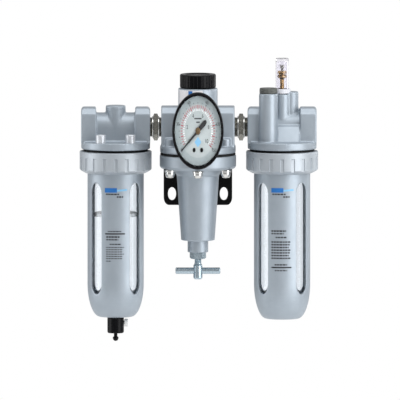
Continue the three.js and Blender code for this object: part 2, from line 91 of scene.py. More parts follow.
# ---- mesh helpers ----
def new_object(name, verts, faces):
    mesh = bpy.data.meshes.new(name)
    mesh.from_pydata([Vector(v) * MM for v in verts], [], faces)
    work = bmesh.new()
    work.from_mesh(mesh)
    bmesh.ops.remove_doubles(work, verts=work.verts, dist=1e-7)
    bmesh.ops.recalc_face_normals(work, faces=work.faces)
    work.to_mesh(mesh)
    work.free()
    obj = bpy.data.objects.new(name, mesh)
    bpy.context.scene.collection.objects.link(obj)
    return obj


def bake_modifiers(obj):
    depsgraph = bpy.context.evaluated_depsgraph_get()
    mesh = bpy.data.meshes.new_from_object(obj.evaluated_get(depsgraph))
    obj.modifiers.clear()
    obj.data = mesh
    return obj


def smooth_faces(obj):
    obj.data.shade_smooth()
    obj.data.set_sharp_from_angle(angle=SHARP)
    normals = obj.modifiers.new("normals", "WEIGHTED_NORMAL")
    normals.keep_sharp = True
    normals.weight = 90
    return obj


def boolean(obj, tools, operation):
    for tool in tools:
        step = obj.modifiers.new("boolean", "BOOLEAN")
        step.operation = operation
        step.solver = "MANIFOLD"
        step.object = tool
        bake_modifiers(obj)
        bpy.data.objects.remove(tool)
    return obj


def cut(obj, *tools):
    return boolean(obj, tools, "DIFFERENCE")


def joined(obj, *parts):
    return boolean(obj, parts, "UNION")


def arc_corner(before, corner, after, radius):
    """The arc that rounds one corner of an outline, never using more than half of either side."""
    back, ahead = before - corner, after - corner
    opening = back.angle(ahead)
    if opening > math.pi - 0.02 or opening < 0.02:
        return [corner]
    reach = min(radius / math.tan(opening / 2), back.length * 0.49, ahead.length * 0.49)
    radius = reach * math.tan(opening / 2)
    heart = corner + (back.normalized() + ahead.normalized()).normalized() * (radius / math.sin(opening / 2))
    first = corner + back.normalized() * reach - heart
    last = corner + ahead.normalized() * reach - heart
    start = math.atan2(first.y, first.x)
    turn = (math.atan2(last.y, last.x) - start + math.pi) % (2 * math.pi) - math.pi
    steps = max(2, round(abs(turn) / math.radians(18)))
    angles = [start + turn * k / steps for k in range(steps + 1)]
    return [heart + Vector((math.cos(a), math.sin(a))) * radius for a in angles]


def outline(points, closed=True):
    """Points (a, b) or (a, b, corner radius) as a list of plain points with the corners rounded."""
    flat = [Vector(p[:2]) for p in points]
    out = []
    for i, p in enumerate(points):
        inside = closed or 0 < i < len(points) - 1
        if len(p) > 2 and inside:
            out += arc_corner(flat[i - 1], flat[i], flat[(i + 1) % len(points)], p[2])
        else:
            out.append(flat[i])
    return out


def lathe(name, profile, centre=(0, 0), segments=ROUND, shift=None):
    """A piece turned about Z from (radius, z, corner radius) points.

    shift(angle, r, z) says how far a point moves in or out.
    """
    ring = profile[0][0] != 0
    points = outline(profile, closed=ring)
    verts = []
    for k in range(segments):
        angle = 2 * math.pi * k / segments
        for p in points:
            r = p.x + (shift(angle, p.x, p.y) if shift and p.x > 0 else 0)
            verts.append((centre[0] + r * math.cos(angle), centre[1] + r * math.sin(angle), p.y))
    count = len(points)
    faces = []
    for k in range(segments):
        here, there = k * count, (k + 1) % segments * count
        for i in range(count if ring else count - 1):
            j = (i + 1) % count
            quad = [here + i, there + i, there + j, here + j]
            if points[i].x == 0:
                quad = [here + i, there + j, here + j]
            elif points[j].x == 0:
                quad = [here + i, there + i, here + j]
            faces.append(quad)
    return new_object(name, verts, faces)


def turn_to(obj, axis, at=(0, 0, 0)):
    """Lays a piece that was turned about Z over, so that its axis is X or Y, and moves it."""
    turn, about = (90, "Y") if axis == "x" else (-90, "X")
    quarter = Matrix.Rotation(math.radians(turn), 4, about)
    obj.data.transform(Matrix.Translation(Vector(at) * MM) @ quarter)
    return obj


def moved(obj, x=0, y=0, z=0, spin=0, about=(0, 0)):
    pivot = Matrix.Translation(Vector((*about, 0)) * MM)
    turn = pivot @ Matrix.Rotation(math.radians(spin), 4, "Z") @ pivot.inverted()
    obj.data.transform(Matrix.Translation(Vector((x, y, z)) * MM) @ turn)
    return obj


def rod(r, z0, z1, centre=(0, 0), segments=FINE_ROUND):
    return lathe("rod", [(0, z0), (r, z0), (r, z1), (0, z1)], centre, segments)


def bar(start, end, r):
    start, end = Vector(start), Vector(end)
    obj = rod(r, 0, (end - start).length)
    turn = Vector((0, 0, 1)).rotation_difference(end - start).to_matrix().to_4x4()
    obj.data.transform(Matrix.Translation(start * MM) @ turn)
    return obj


def prism(axis, points, start, end, closed=True):
    """An outline in the plane across an axis, drawn out along it. The plane's axes are Y Z, X Z or X Y."""
    flat = outline(points, closed)
    place = {"x": lambda a, b, c: (c, a, b),
             "y": lambda a, b, c: (a, c, b),
             "z": lambda a, b, c: (a, b, c)}[axis]
    n = len(flat)
    verts = [place(p.x, p.y, c) for c in (start, end) for p in flat]
    faces = [[k, (k + 1) % n, n + (k + 1) % n, n + k] for k in range(n)]
    faces += [list(range(n))[::-1], list(range(n, 2 * n))]
    return new_object("prism", verts, faces)


def box(x0, x1, y0, y1, z0, z1):
    return prism("z", [(x0, y0), (x1, y0), (x1, y1), (x0, y1)], z0, z1)


def hexagon(corner_radius, turn=0):
    spots = [math.radians(60 * k + turn) for k in range(6)]
    return [(corner_radius * math.cos(a), corner_radius * math.sin(a)) for a in spots]


def merge(name, objects):
    """Several separate shapes as one mesh, with nothing cut."""
    work = bmesh.new()
    for obj in objects:
        work.from_mesh(obj.data)
        bpy.data.objects.remove(obj)
    mesh = bpy.data.meshes.new(name)
    work.to_mesh(mesh)
    work.free()
    whole = bpy.data.objects.new(name, mesh)
    bpy.context.scene.collection.objects.link(whole)
    return whole


def softened(obj, voxel=CAST_VOXEL, passes=5, keep=0.45):
    """Rounds a die casting's edges and fills its corners: an even remesh, relaxed and thinned out again."""
    remesh = obj.modifiers.new("remesh", "REMESH")
    remesh.mode = "VOXEL"
    remesh.voxel_size = voxel * MM
    relax = obj.modifiers.new("relax", "SMOOTH")
    relax.factor = 0.5
    relax.iterations = passes
    thin = obj.modifiers.new("thin", "DECIMATE")
    thin.ratio = keep
    bake_modifiers(obj)
    obj.data.shade_smooth()
    return obj


def bevelled(obj, width):
    edge = obj.modifiers.new("edge", "BEVEL")
    edge.width = width * MM
    edge.segments = 2
    edge.limit_method = "ANGLE"
    edge.angle_limit = BEVEL_FROM
    return bake_modifiers(obj)


# ---- materials ----
def add(tree, kind, **inputs):
    node = tree.nodes.new(kind)
    for key, value in inputs.items():
        node.inputs[key.replace("_", " ")].default_value = value
    return node


def noise(tree, scale, detail=4.0):
    where = tree.nodes.new("ShaderNodeTexCoord")
    field = add(tree, "ShaderNodeTexNoise", Scale=scale, Detail=detail, Roughness=0.55)
    tree.links.new(where.outputs["Object"], field.inputs["Vector"])
    return field.outputs["Fac"]


def spread(tree, value, low_value, high_value):
    """A noise, which lies mostly between 0.3 and 0.7, stretched over a range of values."""
    remap = add(tree, "ShaderNodeMapRange", From_Min=0.3, From_Max=0.7, To_Min=low_value, To_Max=high_value)
    tree.links.new(value, remap.inputs["Value"])
    return remap.outputs["Result"]


def finish_material(name, dark, light, rough, metallic=0.0, mottle=300, grain=2500, depth=0.02, **fixed):
    """A paint, plastic or metal. Its colour, gloss and surface vary by noise of stated scales (per metre)."""
    made = bpy.data.materials.new(name)
    made.use_nodes = True
    tree = made.node_tree
    shader = tree.nodes["Principled BSDF"]
    shader.inputs["Metallic"].default_value = metallic
    for key, value in fixed.items():
        shader.inputs[key.replace("_", " ")].default_value = value
    mix = tree.nodes.new("ShaderNodeMix")
    mix.data_type = "RGBA"
    mix.inputs["A"].default_value = (*dark, 1)
    mix.inputs["B"].default_value = (*light, 1)
    tree.links.new(spread(tree, noise(tree, mottle), 0, 1), mix.inputs["Factor"])
    tree.links.new(mix.outputs["Result"], shader.inputs["Base Color"])
    tree.links.new(spread(tree, noise(tree, mottle * 1.7), rough[0], rough[1]), shader.inputs["Roughness"])
    bump = add(tree, "ShaderNodeBump", Strength=depth, Distance=BUMP_HEIGHT)
    tree.links.new(noise(tree, grain, 2.0), bump.inputs["Height"])
    tree.links.new(bump.outputs["Normal"], shader.inputs["Normal"])
    return made


def clear_material(name, tint, rough, ior):
    made = finish_material(name, tint, tuple(min(1, c * 1.03) for c in tint), rough, mottle=60,
                           grain=900, depth=0.01)
    shader = made.node_tree.nodes["Principled BSDF"]
    shader.inputs["Transmission Weight"].default_value = 1.0
    shader.inputs["IOR"].default_value = ior
    return made


SILVER = finish_material("silver_enamel", (0.345, 0.395, 0.445), (0.375, 0.425, 0.475), (0.44, 0.51), 0.55,
                         mottle=90, grain=1800, depth=0.10)
RING_PAINT = finish_material("ring_enamel", (0.41, 0.45, 0.49), (0.45, 0.49, 0.53), (0.44, 0.52), 0.5,
                             mottle=120, grain=1800, depth=0.12)
# Lighter than the ring enamel: the bosses' pale colour is painted highlight.
BOSS_HIGHLIGHT_METAL = finish_material("boss_metal_painted_highlight", (0.56, 0.59, 0.63), (0.66, 0.69, 0.73), (0.30, 0.42), 0.5,
                             mottle=300, grain=2500, depth=0.10)
BLACK_PLASTIC = finish_material("black_moulding", (0.002, 0.002, 0.003), (0.004, 0.004, 0.005), (0.24, 0.34),
                                mottle=200, grain=4000, depth=0.06, Specular_IOR_Level=0.12)
BLACK_PAINT = finish_material("black_enamel", (0.002, 0.002, 0.002), (0.005, 0.005, 0.006), (0.24, 0.36),
                              mottle=150, grain=2500, depth=0.05, Specular_IOR_Level=0.14)
RUBBER = finish_material("nitrile_rubber", (0.004, 0.004, 0.004), (0.008, 0.008, 0.008), (0.6, 0.8),
                         mottle=400, grain=5000, depth=0.15, Specular_IOR_Level=0.3)
NICKEL = finish_material("nickel_plate", (0.60, 0.60, 0.59), (0.72, 0.72, 0.70), (0.14, 0.24), 1.0,
                         mottle=500, grain=3000, depth=0.05)
ZINC = finish_material("blue_zinc_plate", (0.36, 0.45, 0.51), (0.50, 0.59, 0.65), (0.22, 0.36), 0.9,
                       mottle=350, grain=3000, depth=0.10)
DARK_STEEL = finish_material("dark_plated_steel", (0.14, 0.137, 0.12), (0.34, 0.335, 0.30), (0.20, 0.34), 0.9,
                             mottle=600, grain=3000, depth=0.15)
PLUG_GREY = finish_material("grey_plug", (0.075, 0.08, 0.075), (0.11, 0.115, 0.11), (0.35, 0.5), 0.3,
                            mottle=400, grain=3000, depth=0.12)
BRASS = finish_material("brass", (0.17, 0.10, 0.035), (0.40, 0.26, 0.11), (0.18, 0.32), 1.0,
                        mottle=500, grain=3500, depth=0.08)
HUB_BRASS = finish_material("hub_brass", (0.09, 0.06, 0.035), (0.20, 0.14, 0.08), (0.25, 0.40), 1.0,
                            mottle=700, grain=3500, depth=0.08)
SPRING_STEEL = finish_material("spring_wire", (0.22, 0.22, 0.23), (0.34, 0.34, 0.35), (0.25, 0.40), 1.0)
SINTERED = finish_material("sintered_element", (0.66, 0.63, 0.55), (0.82, 0.80, 0.74), (0.8, 0.95),
                           mottle=2500, grain=1500, depth=0.8)
WHITE_PLASTIC = finish_material("white_moulding", (0.72, 0.73, 0.73), (0.82, 0.83, 0.83), (0.35, 0.5),
                                mottle=200, grain=2500, depth=0.06)
PALE_PLASTIC = finish_material("pale_moulding", (0.60, 0.61, 0.66), (0.68, 0.69, 0.74), (0.30, 0.42),
                               mottle=300, grain=2500, depth=0.06)
# The dial disc is coloured darker than the dial centre: its visible outer band is painted shade from the
# bezel rim.
DIAL_SHADED_RIM = finish_material("dial_enamel_shaded_rim", (0.37, 0.43, 0.45), (0.42, 0.48, 0.50), (0.5, 0.6), mottle=60)
DIAL_CENTRE = finish_material("dial_centre", (0.44, 0.49, 0.50), (0.50, 0.55, 0.56), (0.5, 0.6), mottle=60)
LABEL = finish_material("label_film", (0.74, 0.73, 0.75), (0.80, 0.79, 0.81), (0.35, 0.45), mottle=120)
PRINT_BLACK = finish_material("black_print", (0.010, 0.010, 0.012), (0.022, 0.022, 0.026), (0.5, 0.6))
PRINT_GREY = finish_material("grey_print", (0.035, 0.04, 0.045), (0.07, 0.075, 0.085), (0.5, 0.6))
PRINT_RED = finish_material("red_print", (0.42, 0.10, 0.13), (0.52, 0.16, 0.18), (0.5, 0.6))
PRINT_WHITE = finish_material("white_print", (0.85, 0.86, 0.87), (0.92, 0.93, 0.94), (0.5, 0.6))
PRINT_BLUE = finish_material("blue_print", (0.010, 0.13, 0.42), (0.015, 0.16, 0.50), (0.4, 0.5))
PRINT_SKY = finish_material("light_blue_print", (0.20, 0.48, 0.74), (0.26, 0.54, 0.79), (0.4, 0.5))
CLEAR_BOWL = clear_material("clear_bowl", (0.86, 0.89, 0.92), (0.02, 0.05), 1.4)
CLEAR_DOME = clear_material("clear_dome", (0.84, 0.83, 0.88), (0.01, 0.03), 1.4)
CLEAR_PANE = clear_material("clear_pane", (0.97, 0.98, 0.98), (0.01, 0.03), 1.06)


def put(obj, name, body, look, slot, *nodes):
    """Names a finished piece, gives it its material, and ties it to its body and CAD nodes. The slot argument
    is not used.
    """
    obj.name = name
    obj.data.name = name
    obj.data.materials.clear()
    obj.data.materials.append(look)
    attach(obj, body)
    if nodes:
        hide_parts(*nodes)
    return obj


def put_hard(obj, *rest):
    return put(smooth_faces(obj), *rest)


# ---- filter and lubricator heads ----
SPIGOT_LOW = low("filter_head").z
FLANGE_LOW = high("filter_head_gasket").z + 0.3
FLANGE_TOP = 43.5
BLOCK_TOP = 71.6
BLOCK_DEPTH = 17.5
BLOCK_WIDTH = 18.7
BARREL_R = 12.2
PORT_R = 8.7


def port_block(side, half, width, top=BLOCK_TOP):
    points = [(-BLOCK_DEPTH, FLANGE_TOP - 1), (BLOCK_DEPTH, FLANGE_TOP - 1), (BLOCK_DEPTH, top - 5),
              (BLOCK_DEPTH - 5, top)]
    points += [(5 - BLOCK_DEPTH, top), (-BLOCK_DEPTH, top - 5)]
    ends = sorted((side * half, side * (half - width)))
    block = prism("x", points, *ends)
    rounded = [(side * (half - width), top, 1.6), (side * half, top, 3.5), (side * half, FLANGE_TOP - 2)]
    rounded.append((side * (half - width), FLANGE_TOP - 2))
    return boolean(block, [prism("y", rounded, -BLOCK_DEPTH - 1, BLOCK_DEPTH + 1)], "INTERSECT")


def head_base(right_width=BLOCK_WIDTH):
    flange_r = (high("filter_head").y - low("filter_head").y) / 2
    base = rod(flange_r, FLANGE_LOW, FLANGE_TOP, segments=ROUND)
    parts = [rod(37.5, SPIGOT_LOW, FLANGE_LOW + 1, segments=ROUND)]
    parts.append(bar((-HEAD_HALF + 1, 0, PORT_Z), (HEAD_HALF - 1, 0, PORT_Z), BARREL_R))
    parts.append(box(-HEAD_HALF + 1, HEAD_HALF - 1, -BARREL_R, BARREL_R, FLANGE_TOP - 1, PORT_Z))
    parts += [port_block(-1, HEAD_HALF, BLOCK_WIDTH), port_block(1, HEAD_HALF, right_width)]
    return joined(base, *parts)


def head_hollow():
    tools = [rod(28, SPIGOT_LOW - 1, FLANGE_TOP - 2.5, segments=ROUND)]
    for side in (-1, 1):
        tools.append(bar((side * (HEAD_HALF + 1), 0, PORT_Z), (side * (HEAD_HALF - 13), 0, PORT_Z), PORT_R))
        tools.append(bar((side * (HEAD_HALF - 8), 0, PORT_Z), (side * 6, 0, PORT_Z), 6))
    return tools


def screw_bosses(name, centre, body):
    """Bright round bosses with a socket screw sunk in each, standing on a head's flange. Their pale metal
    colour, lighter than the ring enamel, is painted highlight.
    """
    reach_x, reach_y = 18.4, 31
    boss_r, socket_r = 6.2, 3.2
    foot, top = FLANGE_TOP - 0.5, FLANGE_TOP + 6.8
    bosses = []
    for sx in (-1, 1):
        for sy in (-1, 1):
            spot = (centre[0] + sx * reach_x, centre[1] + sy * reach_y)
            profile = [(0, foot), (boss_r, foot), (boss_r, top, 0.8), (socket_r, top, 0.3)]
            profile += [(socket_r, FLANGE_TOP + 3, 0.2), (0, FLANGE_TOP + 3)]
            bosses.append(lathe("boss", profile, spot, FINE_ROUND))
    put_hard(merge(name, bosses), name, body, BOSS_HIGHLIGHT_METAL, "ring_paint")


def filter_head():
    casting = joined(head_base(), rod(12.35, PORT_Z, high("filter_head").z))
    cut(casting, *head_hollow())
    softened(moved(casting, *FILTER))
    put(casting, "filter_head_casting", "manifold", SILVER, "silver_paint", "filter_head")
    screw_bosses("filter_head_bosses", FILTER, "manifold")


FILL = middle("fill_plug").xy
FILL_OFFSET = FILL - LUBRICATOR


def lubricator_head():
    casting = head_base(21.2)
    top = low("fill_plug").z + 14.1
    parts = [rod(11.7, FLANGE_TOP - 1, top, FILL_OFFSET)]
    parts.append(rod(10.7, PORT_Z, 83))
    parts.append(rod(9.4, PORT_Z, 84.5, (10.9, 3)))
    web = [(-24.5, FLANGE_TOP - 1), (17, FLANGE_TOP - 1), (17, 57), (-14, 57, 3), (-23, FLANGE_TOP + 1.5, 2)]
    parts.append(prism("x", web, -24, 21.3))
    joined(casting, *parts)
    cut(casting, *head_hollow(), rod(8.6, 75, 90), rod(7.6, 62, 90, FILL_OFFSET),
        box(21.3, 22.5, -19, -9, FLANGE_TOP + 0.5, 80))
    softened(moved(casting, *LUBRICATOR))
    put(casting, "lubricator_head_casting", "manifold", SILVER, "silver_paint", "lubricator_head")


# ---- ring nuts, guards and bowls ----
RIBS = 20
RIB_BAND = 30.6
RIB_FLOOR = 43.6


def rib_relief(angle, r, z):
    """Sinks the grooves between the ribs, below the plain band, by the ring's own angle."""
    phase = (angle * RIBS / (2 * math.pi) + 0.5) % 1
    from_groove = abs(phase - 0.5) * 2
    share = min(1, max(0, (0.32 - from_groove) / 0.05))
    ramp = min(1, max(0, (RIB_BAND - z) / 0.4))
    return (min(r, RIB_FLOOR) - r) * share * ramp if r > 42 else 0


def ring_nut(unit, centre, body):
    node = f"{unit}_ring_nut"
    outer = (high(node).x - low(node).x) / 2
    base, top = low(node).z, high(node).z
    wall = [(outer, base + 3.2), (outer, RIB_BAND - 0.4), (outer, RIB_BAND)]
    profile = [(35.6, base), (38, base, 0.5), (43.5, base + 2.1, 0.8), *wall]
    profile += [(outer, top, 0.9), (38.1, top, 0.5), (38.1, base + 5.4), (35.6, base + 5.4)]
    nut = lathe(node, profile, centre, RIBS * 36, rib_relief)
    put_hard(nut, f"{unit}_ribbed_ring", body, RING_PAINT, "ring_paint", node)


GUARD_BEND = -74.4
SLOT_LOW, SLOT_HIGH, SLOT_R = -82.2, 9.9, 8.5


def swept_quarter(cx, cz, a, b, steps=14):
    spots = [math.pi / 2 * k / steps for k in range(steps + 1)]
    return [(cx + a * math.sin(t), cz - b * math.cos(t)) for t in spots]


def bowl_guard(unit, centre, body, hole):
    node = f"{unit}_bowl_guard"
    bottom, top = low(node).z, high(node).z
    outside = swept_quarter(19.5, GUARD_BEND, 15.5, GUARD_BEND - bottom)
    inside = swept_quarter(17.5, GUARD_BEND, 14.9, GUARD_BEND - bottom - 2.6)[::-1]
    rim = [(35, top - 2.3), (37.6, top - 2.3), (37.6, top), (32.4, top)]
    shell = lathe("shell", [(hole, bottom), *outside, *rim, *inside, (hole, bottom + 2.6)])
    half = [math.radians(15 * k) for k in range(13)]
    stadium = [(SLOT_R * math.cos(a), SLOT_HIGH - SLOT_R + SLOT_R * math.sin(a)) for a in half]
    stadium += [(-SLOT_R * math.cos(a), SLOT_LOW + SLOT_R - SLOT_R * math.sin(a)) for a in half]
    slots = [moved(prism("y", stadium, -45, -20), spin=45 + 90 * k) for k in range(4)]
    cut(shell, *slots)
    softened(moved(shell, *centre), 0.7, 4, 0.4)
    put(shell, f"{unit}_guard_shell", body, SILVER, "silver_paint", node)


def clear_bowl(unit, centre, body, hole):
    node = f"{unit}_bowl"
    outside = swept_quarter(17, GUARD_BEND, 14.6, 23.4)
    inside = swept_quarter(17, GUARD_BEND, 12.2, 21)[::-1]
    top = high(node).z
    rim = [(31.6, top - 2.4), (37.2, top - 2.4, 0.4), (37.2, top, 0.4), (29.2, top, 0.4)]
    profile = [(hole, low(node).z), *outside, *rim, *inside, (hole, low(node).z + 2.4)]
    if hole == 0:
        profile = [(0, low(node).z), *outside, *rim, *inside, (0, low(node).z + 2.4)]
    put_hard(lathe(node, profile, centre), f"{unit}_clear_bowl", body, CLEAR_BOWL, "clear_bowl", node)


def turned_copy(node, name, profile, look, slot, body, segments=ROUND):
    """A smooth turned piece for a CAD node: z is measured from the node's own foot."""
    foot = low(node).z
    points = [(p[0], p[1] + foot, *p[2:]) for p in profile]
    return put_hard(lathe(name, points, middle(node).xy, segments), name, body, look, slot, node)


def seals(unit, body):
    thick = height(f"{unit}_head_gasket")
    gasket = [(37.8, 0), (40, 0, 0.5), (40, thick, 0.5), (37.8, thick)]
    turned_copy(f"{unit}_head_gasket", f"{unit}_gasket", gasket, RUBBER, "rubber", "manifold")
    ring = [(31, 0, 0.6), (36.5, 0, 0.6), (36.5, 1.5, 0.6), (31, 1.5, 0.6)]
    turned_copy(f"{unit}_bowl_seal", f"{unit}_bowl_o_ring", ring, RUBBER, "rubber", body)


# ---- printed marks on the guards ----
def patch(centre, radius, x0, x1, z0, z1, slant=0.0):
    """A thin curved strip lying on a round wall, between two sideways distances from its axis."""
    steps = max(2, round((x1 - x0) / 1.5))
    verts = []
    for depth in (-0.05, 0.09):
        for k in range(steps + 1):
            x = x0 + (x1 - x0) * k / steps
            angle = math.asin(x / radius)
            rise = slant * k / steps
            reach = radius + depth
            spot = (centre[0] + reach * math.sin(angle), centre[1] - reach * math.cos(angle))
            verts += [(*spot, z0 + rise), (*spot, z1 + rise)]
    n = 2 * (steps + 1)
    faces = []
    for k in range(steps):
        a, b, c, d = 2 * k, 2 * k + 2, 2 * k + 3, 2 * k + 1
        faces += [[a, b, c, d], [n + d, n + c, n + b, n + a], [a, n + a, n + b, b], [d, c, n + c, n + d]]
    faces += [[0, 1, n + 1, n], [n - 2, 2 * n - 2, 2 * n - 1, n - 1]]
    return new_object("patch", verts, faces)


def print_rows(name, centre, body, look, rows):
    """Rows (x0, x1, z, height) of dashes that stand where a label would be printed. They spell nothing."""
    strips = []
    for row, (x0, x1, z, height) in enumerate(rows):
        x, k = x0, row
        while x < x1 - 0.6:
            dash = min(2.1 + 1.3 * ((k * 5 + row * 3) % 4) / 3, x1 - x)
            strips.append(patch(centre, 35, x, x + dash, z - height / 2, z + height / 2))
            x += dash + 0.8
            k += 1
    put(merge(name, strips), name, body, look, "black_paint")


def badge(unit, centre, body):
    put(patch(centre, 35, -13.4, 1.6, 2.5, 6.3), f"{unit}_badge", body, PRINT_BLUE, "black_paint")
    put(patch(centre, 35, 1.8, 14.2, 3.3, 4.9, 0.6), f"{unit}_badge_line", body, PRINT_SKY, "black_paint")
    print_rows(f"{unit}_badge_marks", centre, body, PRINT_BLACK,
               [(-12, 4.5, 1.1, 1.2), (1.5, 9.3, -1.1, 1.3)])


def filter_print():
    body = "filter_bowl_set"
    badge("filter", FILTER, body)
    put(patch(FILTER, 35, -13, 11.6, -32.3, -31.2), "filter_rule", body, PRINT_BLACK, "black_paint")
    head = [(-9.5, 7.5, -29.7, 0.9), (-11.5, 5, -34.3, 1.4), (-11.5, 3.4, -36.6, 1.1),
            (-7.3, 7.5, -40.4, 1.0)]
    body_rows = [(-11.7, 10.3 - (k % 3) * 1.1, -43.0 - 1.85 * k, 0.8) for k in range(6)]
    print_rows("filter_print_head", FILTER, body, PRINT_BLACK, head)
    print_rows("filter_print_rows", FILTER, body, PRINT_GREY, body_rows + [(-11.7, -6, -54.4, 0.8)])


def lubricator_print():
    body = "lubricator_bowl_set"
    badge("lubricator", LUBRICATOR, body)
    put(patch(LUBRICATOR, 35, -13.2, 11.6, -60.2, -59.1), "lubricator_rule", body, PRINT_BLACK, "black_paint")
    head = [(-13.2, 5, -29.4, 1.4), (-13.2, 2, -31.6, 1.1), (-8, 6.8, -34.7, 1.2)]
    head += [(-13.2, 10.6 - (k % 3) * 1.2, -38.5 - 2.25 * k, 1.2) for k in range(7)]
    head += [(-9.2, 6.2, -57.4, 1.2)]
    print_rows("lubricator_print_head", LUBRICATOR, body, PRINT_BLACK, head)
    print_rows("lubricator_print_foot", LUBRICATOR, body, PRINT_GREY, [(-9, 6.2, -62.2, 1.1)])


# ---- filter inside and drain ----
def filter_inside():
    louvre = [(11.4, 6.7), (24, 6.7), (25.8, 0.2), (26.8, 0.2), (25, 8.3, 0.8), (11.4, 8.3)]
    turned_copy("filter_deflector", "filter_louvre", louvre, WHITE_PLASTIC, "white_plastic", "manifold")
    element = [(12, 0, 0.5), (17, 0, 0.8), (17, 45.6, 0.8), (12, 45.6, 0.5)]
    turned_copy("filter_element", "filter_cartridge", element, SINTERED, "sintered", "manifold")
    baffle = [(2.6, 0), (27.2, 0, 0.6), (27.6, 3, 0.8), (15, 3, 1), (11, 6.3, 0.6), (2.6, 6.3)]
    turned_copy("filter_baffle", "filter_baffle_disc", baffle, WHITE_PLASTIC, "white_plastic", "manifold")
    tie = [(0, 0), (5, 0, 0.6), (5, 4.1, 0.4), (2.2, 4.1), (2.2, 87), (0, 87)]
    turned_copy("filter_tie_rod", "filter_rod", tie, WHITE_PLASTIC, "white_plastic", "manifold", FINE_ROUND)


def drain():
    body = "filter_bowl_set"
    cx, cy = FILTER
    foot = low("drain_body").z
    profile = [(2.6, foot), (9.6, foot, 0.6), (10.3, foot + 1.2, 0.4), (10.3, foot + 13.2, 0.7),
               (6, foot + 13.2)]
    profile += [(6, foot + 27.8, 0.5), (2.6, foot + 27.8)]
    housing = lathe("housing", profile, FILTER, 72)
    spout_z = middle("drain_side_spout").z
    cut(housing, bar((cx + 6, cy, spout_z), (cx + 12, cy, spout_z), 2.1))
    put_hard(housing, "drain_housing", body, BLACK_PLASTIC, "black_plastic", "drain_body")
    stem = [(0, 0), (2.4, 0.5, 1.2), (3.7, 2.2, 1.2), (3.4, 3.7, 0.5), (2.2, 3.7, 0.2), (2.2, 36.6),
            (3.6, 36.6, 0.3)]
    stem += [(3.6, 38.6, 0.5), (0, 38.6)]
    turned_copy("drain_stem", "drain_push_stem", stem, BLACK_PLASTIC, "black_plastic", "drain_button",
                FINE_ROUND)
    spout = lathe("spout", [(0, 6.8), (1.7, 6.8), (1.7, 10.9), (3.25, 10.9, 0.4), (3.25, 15.3, 0.6),
                            (1.3, 15.3, 0.2), (1.3, 12), (0, 12)],
                  segments=FINE_ROUND)
    put_hard(turn_to(spout, "x", (cx, cy, spout_z)), "drain_spout_tip", body, WHITE_PLASTIC,
             "white_plastic", "drain_side_spout")
    nut = prism("z", hexagon(9.2), low("drain_nut").z, high("drain_nut").z)
    cut(nut, rod(6.4, -100, -85))
    put_hard(bevelled(moved(nut, cx, cy), 0.4), "drain_hex_nut", body, NICKEL, "nickel", "drain_nut")


# ---- regulator ----
SCREW_CIRCLE = 40


def regulator_body():
    flange_low = low("regulator_body").z
    flange_top = flange_low + 5.85
    neck_top = high("regulator_body").z
    casting = rod(47, flange_low, flange_top, segments=ROUND)
    points = [(-BLOCK_DEPTH, flange_top - 1), (BLOCK_DEPTH, flange_top - 1), (BLOCK_DEPTH, 67.4),
              (BLOCK_DEPTH - 5, 72.4)]
    points += [(5 - BLOCK_DEPTH, 72.4), (-BLOCK_DEPTH, 67.4)]
    parts = [prism("x", points, -REGULATOR_HALF, REGULATOR_HALF),
             rod(24.5, flange_top - 1, neck_top, segments=ROUND)]
    parts.append(bar((0, 0, GAUGE.z), (0, -36, GAUGE.z), 10))
    for k in range(6):
        angle = math.radians(60 * k - 90)
        spot = (SCREW_CIRCLE * math.cos(angle), SCREW_CIRCLE * math.sin(angle))
        parts.append(rod(5.9, flange_top - 1, 46.5, spot))
    joined(casting, *parts)
    tools = [rod(30, flange_low - 1, 38.1, segments=ROUND), rod(14, 60, neck_top + 1),
             rod(17.3, 85.9, neck_top + 1)]
    tools.append(bar((0, -38, GAUGE.z), (0, -20, GAUGE.z), 7))
    for side in (-1, 1):
        tools.append(bar((side * 47, 0, PORT_Z), (side * 32, 0, PORT_Z), PORT_R))
    cut(casting, *tools)
    softened(moved(casting, *REGULATOR))
    put(casting, "regulator_casting", "manifold", SILVER, "silver_paint", "regulator_body")
    put(patch(REGULATOR, 24.5, -24, 6, 74.5, neck_top - 1), "neck_label", "manifold", LABEL, "black_paint")
    put(patch(REGULATOR, 24.6, -11.8, -6.9, 81, neck_top - 1.4), "neck_label_mark", "manifold",
        PRINT_BLUE, "black_paint")


def top_cap():
    foot, top = low("valve_cap").z, high("valve_cap").z
    outer = (high("valve_cap").x - low("valve_cap").x) / 2
    under = low("valve_cap_seal").z + 2
    flutes, flute_depth = 24, 0.35

    def flute(angle, r, z):
        wave = 0.5 + 0.5 * math.cos(angle * flutes)
        return -flute_depth * wave**12 if r > 20 and z > under else 0

    profile = [(0, top - 6), (9.5, top - 6), (9.5, foot), (13.5, foot), (13.5, under), (outer - 0.5, under)]
    profile += [(outer, under + 0.6), (outer, top - 0.8, 0.4), (outer - 0.8, top, 0.4), (16, top, 0.6)]
    profile += [(15.4, top - 0.8, 0.4), (0, top - 0.8)]
    put_hard(lathe("cap", profile, REGULATOR, 432, flute), "top_cap_fluted", "cap", BLACK_PLASTIC,
             "black_plastic", "valve_cap")
    seal = [(14.9, 0, 0.7), (16.9, 0, 0.7), (16.9, 1.7, 0.7), (14.9, 1.7, 0.7)]
    turned_copy("valve_cap_seal", "cap_o_ring", seal, RUBBER, "rubber", "cap_seal", FINE_ROUND)


def bonnet():
    foot, top = low("bonnet").z, high("bonnet").z
    profile = [(4.9, foot), (12.8, foot, 0.8), (12.8, foot + 10, 1), (20.4, foot + 10, 0.8),
               (20.9, foot + 10.7, 0.4)]
    profile += [(26.4, 15.2, 2), (27.8, 16.4, 2), (29.7, 21, 3), (45.6, 21, 2), (47.5, 22.9, 1.6),
                (47.5, top, 0.8)]
    profile += [(24.5, top), (23, 15), (18.6, -35.5), (4.9, -35.5)]
    put_hard(lathe("bonnet", profile, REGULATOR, 128), "bonnet_shell", "manifold", SILVER,
             "silver_paint", "bonnet")


